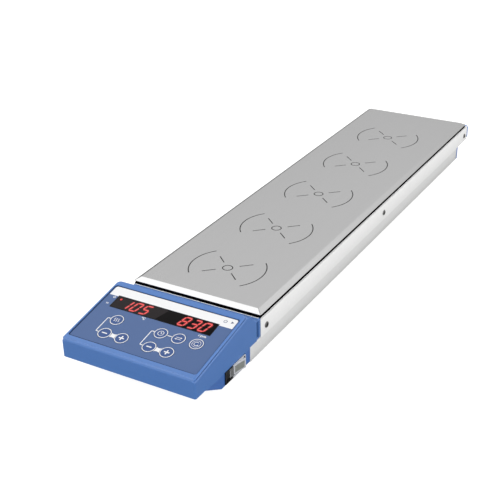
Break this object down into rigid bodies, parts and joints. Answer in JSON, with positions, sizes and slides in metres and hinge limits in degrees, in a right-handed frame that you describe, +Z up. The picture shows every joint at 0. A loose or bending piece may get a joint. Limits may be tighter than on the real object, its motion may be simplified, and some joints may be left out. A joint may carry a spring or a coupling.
{
  "type": "multi-position magnetic stirrer",
  "caption": "Low, long magnetic stirrer with a heated bevelled plate marked in a row of positions, and a sloping control head with keys, lit displays and a side rocker switch.",
  "frame": {"origin": "on the bench under the middle of the stirrer", "axes": "+X to the right, +Y from the control head to the rear, +Z up"},
  "size_m": [0.1154, 0.5448, 0.0453],
  "materials": {
    "stainless": "matt, finely brushed",
    "white_paint": "satin powder coat",
    "blue_plastic": "fine moulded grain",
    "membrane": "printed film",
    "window": "dark glossy filter",
    "display": "lit red",
    "black_rubber": "matt",
    "black_plastic": "satin",
    "rocker_plastic": "glossy",
    "dark_screw": "blackened",
    "zinc": "zinc plated",
    "heater": "silicone mat",
    "insulation": "fibre felt",
    "sensor_metal": "as machined",
    "phenolic": "moulded",
    "circuit_board": "solder mask",
    "cable": "sleeved",
    "core_steel": "bare steel",
    "bobbin_plastic": "natural nylon",
    "copper": "enamelled copper"
  },
  "bodies": {
    "base": {"set_up_plate": "stainless", "plate_seal": "black_rubber", "plate_studs": "zinc", "plate_nuts": "zinc", "heater_mat": "heater", "insulation_sheet": "insulation", "temperature_sensor": "sensor_metal", "thermal_cutout": "phenolic", "carrier_frame": "white_paint", "housing_shell": "white_paint", "side_screws": "dark_screw", "rubber_feet": "black_rubber", "foot_screws": "zinc", "rear_cap": "blue_plastic", "mains_gland": "black_plastic", "gland_nut": "black_plastic", "terminal_block": "phenolic", "wiring_loom": "cable", "power_supply": "phenolic", "drive_board": "circuit_board", "board_spacers": "zinc", "board_screws": "zinc", "drive_cable": "cable", "head_body": "blue_plastic", "head_cover": "blue_plastic", "cover_screws": "zinc", "panel_membrane": "membrane", "display_window": "window", "temperature_display": "display", "speed_display": "display", "status_light": "display", "keypad_board": "circuit_board", "key_switches": "black_plastic", "control_board": "circuit_board", "ribbon_cable": "cable", "switch_frame": "black_plastic", "drive_yoke_1": "core_steel", "drive_yoke_2": "core_steel", "drive_yoke_3": "core_steel", "drive_yoke_4": "core_steel", "drive_yoke_5": "core_steel", "coil_bobbins_1": "bobbin_plastic", "coil_bobbins_2": "bobbin_plastic", "coil_bobbins_3": "bobbin_plastic", "coil_bobbins_4": "bobbin_plastic", "coil_bobbins_5": "bobbin_plastic", "coil_windings_1": "copper", "coil_windings_2": "copper", "coil_windings_3": "copper", "coil_windings_4": "copper", "coil_windings_5": "copper"},
    "heat_key": {"heat_key": "membrane"},
    "temperature_down_key": {"temperature_down_key": "membrane"},
    "temperature_up_key": {"temperature_up_key": "membrane"},
    "timer_key": {"timer_key": "membrane"},
    "reverse_key": {"reverse_key": "membrane"},
    "stir_key": {"stir_key": "membrane"},
    "speed_down_key": {"speed_down_key": "membrane"},
    "speed_up_key": {"speed_up_key": "membrane"},
    "switch_rocker": {"switch_rocker": "rocker_plastic"}
  },
  "joints": [
    {"name": "heat_press", "type": "slide", "parent": "base", "child": "heat_key", "axis": [0, 0.1805, -0.9836], "range_m": [0, 0.0004], "stiffness_N_per_m": 4000},
    {"name": "temperature_down_press", "type": "slide", "parent": "base", "child": "temperature_down_key", "axis": [0, 0.1805, -0.9836], "range_m": [0, 0.0004], "stiffness_N_per_m": 4000},
    {"name": "temperature_up_press", "type": "slide", "parent": "base", "child": "temperature_up_key", "axis": [0, 0.1805, -0.9836], "range_m": [0, 0.0004], "stiffness_N_per_m": 4000},
    {"name": "timer_press", "type": "slide", "parent": "base", "child": "timer_key", "axis": [0, 0.1805, -0.9836], "range_m": [0, 0.0004], "stiffness_N_per_m": 4000},
    {"name": "reverse_press", "type": "slide", "parent": "base", "child": "reverse_key", "axis": [0, 0.1805, -0.9836], "range_m": [0, 0.0004], "stiffness_N_per_m": 4000},
    {"name": "stir_press", "type": "slide", "parent": "base", "child": "stir_key", "axis": [0, 0.1805, -0.9836], "range_m": [0, 0.0004], "stiffness_N_per_m": 4000},
    {"name": "speed_down_press", "type": "slide", "parent": "base", "child": "speed_down_key", "axis": [0, 0.1805, -0.9836], "range_m": [0, 0.0004], "stiffness_N_per_m": 4000},
    {"name": "speed_up_press", "type": "slide", "parent": "base", "child": "speed_up_key", "axis": [0, 0.1805, -0.9836], "range_m": [0, 0.0004], "stiffness_N_per_m": 4000},
    {"name": "power_rocker", "type": "hinge", "parent": "base", "child": "switch_rocker", "pos_m": [0.0515, -0.22135, 0.0111], "axis": [0, 0, 1], "range_deg": [0, 16]}
  ]
}
